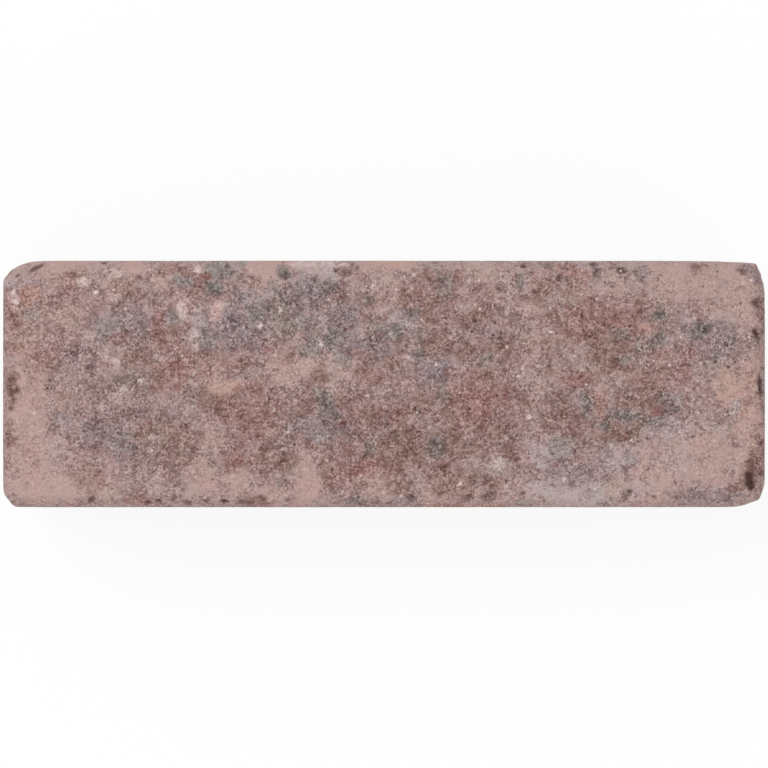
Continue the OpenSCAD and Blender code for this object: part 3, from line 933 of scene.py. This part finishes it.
class Nodes:
    """Short calls that add nodes to one material's or world's tree."""

    def __init__(self, owner):
        owner.use_nodes = True
        self.tree = owner.node_tree
        self.tree.nodes.clear()

    def add(self, kind, settings=(), **inputs):
        """Adds a node, sets its own settings, and sets or links its inputs by their names."""
        node = self.tree.nodes.new("ShaderNode" + kind)
        for name, value in dict(settings).items():
            setattr(node, name, value)
        for name, value in inputs.items():
            self.put(node.inputs[name.replace("_", " ")], value)
        return node

    def put(self, socket, value):
        """Links a socket to another, or sets its value."""
        if isinstance(value, bpy.types.NodeSocket):
            self.tree.links.new(value, socket)
        else:
            socket.default_value = value

    def fill(self, node, *values):
        """Sets or links a node's inputs in their order, and gives its first output."""
        for socket, value in zip(node.inputs, values):
            self.put(socket, value)
        return node.outputs[0]

    def math(self, operation, *values):
        """Output of a Math node on numbers or sockets."""
        return self.fill(self.add("Math", {"operation": operation}), *values)

    def summed(self, total, sockets, weights):
        """Output of a start value plus each named socket times its weight."""
        for name, weight in weights.items():
            total = self.math("MULTIPLY_ADD", sockets[name], weight, total)
        return total

    def ramp(self, value, low, high):
        """Output that runs smoothly from 0 at the low value to 1 at the high one."""
        smooth = {"interpolation_type": "SMOOTHSTEP"}
        node = self.add("MapRange", smooth, Value=value, From_Min=low, From_Max=high)
        return node.outputs["Result"]

    def noise(self, place, size, detail, roughness):
        """Noise of features of a size, from -0.5 to 0.5."""
        node = self.add("TexNoise", Vector=place, Scale=1 / size, Detail=detail, Roughness=roughness)
        return self.math("SUBTRACT", node.outputs["Fac"], 0.5)

    def cells(self, place, size):
        """Distance from the middle of cells of a size, and three random numbers for each cell."""
        node = self.add("TexVoronoi", Vector=place, Scale=1 / size)
        draw = self.add("SeparateColor", Color=node.outputs["Color"])
        return node.outputs["Distance"], [draw.outputs[name] for name in ("Red", "Green", "Blue")]

    def dots(self, distance, draw, bend, kind):
        """Output of dots in cells, bent by a noise, in those cells whose draw is high enough."""
        bent, edge, rarity = kind
        round_dots = self.ramp(self.math("MULTIPLY_ADD", bend, bent, distance), *edge)
        return self.math("MULTIPLY", round_dots, self.ramp(draw, *rarity))

    def mix(self, share, first, second, blend="MIX"):
        """Colour output of a Mix node."""
        kind = {"data_type": "RGBA", "blend_type": blend}
        return self.add("Mix", kind, Factor=share, A=first, B=second).outputs["Result"]

    def mix_shaders(self, *values):
        """Output of two shaders mixed by a share, which comes first."""
        return self.fill(self.add("MixShader"), *values)


def colour4(levels):
    """Linear colour with full alpha, as a colour socket takes it."""
    return (*level_colour(levels), 1.0)


def concrete_finish():
    """Sandy concrete: open grain with pores and holes darkened by painted shade, and a pale cement film that
    is left on part of it.
    """
    material = bpy.data.materials.new("tumbled_concrete")
    nodes = Nodes(material)
    place = nodes.add("TexCoord").outputs["Object"]
    grain_colour = nodes.add("Attribute", {"attribute_name": "grain_colour"}).outputs["Color"]
    film_colour = nodes.add("Attribute", {"attribute_name": "film_colour"}).outputs["Color"]
    cover = nodes.add("Attribute", {"attribute_name": "film_cover"}).outputs["Fac"]
    bare = nodes.math("SUBTRACT", 1.0, cover)
    sand_distance, sand_draw = nodes.cells(place, SAND_SIZE)
    pore_distance, pore_draw = nodes.cells(place, PORE_SIZE)
    speck_distance, speck_draw = nodes.cells(place, SPECK_SIZE)
    hole_distance, hole_draw = nodes.cells(place, HOLE_SIZE)
    fine = nodes.noise(place, *FINE_NOISE)
    strands = nodes.noise(place, *STRAND_NOISE)
    rubbing = nodes.ramp(nodes.noise(place, *RUBBING_NOISE), *RUBBING_RAMP)
    fields = {
        "fine": fine,
        "patches": nodes.noise(place, *PATCH_NOISE),
        "grain": nodes.math("SUBTRACT", sand_draw[0], 0.5),
        "strand": nodes.ramp(nodes.math("ABSOLUTE", strands), *STRAND_RAMP),
        "gap": nodes.ramp(sand_distance, *GAP_RAMP),
    }

    film = nodes.ramp(nodes.summed(cover, fields, FILM_WEIGHTS), *FILM_RAMP)
    colour = nodes.mix(film, grain_colour, film_colour)
    depth = nodes.math("MULTIPLY_ADD", bare, *TONE_BARE)
    depth = nodes.math("MULTIPLY", depth, nodes.math("MULTIPLY_ADD", rubbing, *TONE_RUBBED))
    tone = nodes.math("MULTIPLY", nodes.summed(0.0, fields, TONE_WEIGHTS), depth)
    tones = {name: nodes.math("MULTIPLY_ADD", tone, *pair) for name, pair in TONES.items()}
    tones = nodes.add("CombineColor", **tones).outputs["Color"]
    colour = nodes.mix(1.0, colour, tones, "MULTIPLY")

    red_sand = nodes.math("MULTIPLY", nodes.ramp(sand_draw[1], *RED_RAMP), RED_SHARE)
    black_sand = nodes.math("MULTIPLY", nodes.ramp(sand_draw[2], *BLACK_RAMP), BLACK_SHARE)
    colour = nodes.mix(nodes.math("MULTIPLY", red_sand, bare), colour, colour4(RED_SAND))
    colour = nodes.mix(nodes.math("MULTIPLY", black_sand, bare), colour, BLACK_SAND, "MULTIPLY")
    # Painted shade in the pores and holes, which the bump also sinks
    pore = nodes.dots(pore_distance, pore_draw[0], fine, PORE_DOTS)
    pore = nodes.math("MULTIPLY", pore, nodes.math("MULTIPLY_ADD", bare, *PORE_BARE))
    colour = nodes.mix(pore, colour, PORE_SHADE, "MULTIPLY")
    hole = nodes.dots(hole_distance, hole_draw[0], fine, HOLE_DOTS)
    colour = nodes.mix(nodes.math("MULTIPLY", hole, HOLE_SHARE), colour, HOLE_SHADE, "MULTIPLY")
    speck = nodes.dots(speck_distance, speck_draw[0], fine, SPECK_DOTS)
    colour = nodes.mix(nodes.math("MULTIPLY", speck, SPECK_SHARE), colour, colour4(SPECK))
    bright = nodes.dots(speck_distance, speck_draw[1], fine, BRIGHT_DOTS)
    colour = nodes.mix(nodes.math("MULTIPLY", bright, BRIGHT_SHARE), colour, colour4(WHITE_GRAIN))

    fields.update(film=film, pore=pore, hole=hole)
    height = nodes.summed(0.0, fields, HEIGHT_WEIGHTS)
    bump = nodes.add("Bump", Strength=BUMP_STRENGTH, Distance=BUMP_DEPTH, Height=height)
    rough = nodes.math("MULTIPLY_ADD", film, FILM_SMOOTHING, ROUGHNESS)
    surface = nodes.add("BsdfPrincipled", Base_Color=colour, Roughness=rough, Normal=bump.outputs["Normal"])
    surface.inputs["Specular IOR Level"].default_value = SHINE
    nodes.add("OutputMaterial", Surface=surface.outputs["BSDF"])
    return material


def seen_directly(nodes):
    """Output that is 1 for rays from the camera, a mirror or glass, and 0 for light on the object."""
    path = nodes.add("LightPath")
    seen = nodes.math("MAXIMUM", path.outputs["Is Camera Ray"], path.outputs["Is Glossy Ray"])
    return nodes.math("MAXIMUM", seen, path.outputs["Is Transmission Ray"])


def studio_floor():
    """Level white floor that keeps the stone's soft shadow and lights it as plain paper would."""
    ways = ((-1, -1), (1, -1), (1, 1), (-1, 1))
    corners = [(x * FLOOR_REACH, y * FLOOR_REACH, LOW[2]) for x, y in ways]
    mesh = bpy.data.meshes.new("floor")
    mesh.from_pydata(corners, [], [(0, 1, 2, 3)])
    floor = bpy.data.objects.new("floor", mesh)
    bpy.context.scene.collection.objects.link(floor)
    material = bpy.data.materials.new("white_paper")
    nodes = Nodes(material)
    paper = nodes.add("BsdfDiffuse", Color=WHITE)
    glow = nodes.add("Emission", Color=WHITE, Strength=1.0)
    share = nodes.math("MULTIPLY", seen_directly(nodes), FLOOR_GLOW)
    both = nodes.mix_shaders(share, paper.outputs["BSDF"], glow.outputs["Emission"])
    nodes.add("OutputMaterial", Surface=both)
    mesh.materials.append(material)


def studio_world():
    """White surroundings, which light the stone evenly at a plain level."""
    world = bpy.data.worlds.new("studio")
    bpy.context.scene.world = world
    nodes = Nodes(world)
    ambient = nodes.add("Background", Color=WHITE, Strength=AMBIENT)
    white = nodes.add("Background", Color=WHITE, Strength=1.0)
    both = nodes.mix_shaders(seen_directly(nodes), ambient.outputs["Background"], white.outputs["Background"])
    nodes.add("OutputWorld", Surface=both)


def soft_light(name, place, power):
    """Square soft light at a place, turned to the stone's middle."""
    lamp = bpy.data.lights.new(name, "AREA")
    lamp.size = LIGHT_WIDTH
    lamp.energy = power
    light = bpy.data.objects.new(name, lamp)
    bpy.context.scene.collection.objects.link(light)
    light.location = place
    backwards = (np.array(place) - (LOW + HIGH) / 2).tolist()
    light.rotation_euler = Vector(backwards).to_track_quat("Z", "Y").to_euler()


def camera_above():
    """Camera straight above the stone, so far off that the edges stay nearly parallel."""
    frame_width = LENGTH * FRAME_PIXELS / STONE_PIXELS
    camera = bpy.data.cameras.new("camera")
    camera.sensor_width = SENSOR_WIDTH
    camera.lens = SENSOR_WIDTH * CAMERA_DISTANCE / frame_width
    camera.clip_end = FAR_LIMIT
    eye = bpy.data.objects.new("camera", camera)
    bpy.context.scene.collection.objects.link(eye)
    middle = (LOW + HIGH) / 2
    eye.location = (middle[0], middle[1], CORE_HIGH[2] + CAMERA_DISTANCE)
    bpy.context.scene.camera = eye


stone = stone_block()
stone.data.materials.append(concrete_finish())
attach(stone, "root")
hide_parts(STONE)

studio_floor()
studio_world()
for light in LIGHTS:
    soft_light(*light)
camera_above()
bpy.context.scene.view_settings.view_transform = "Standard"
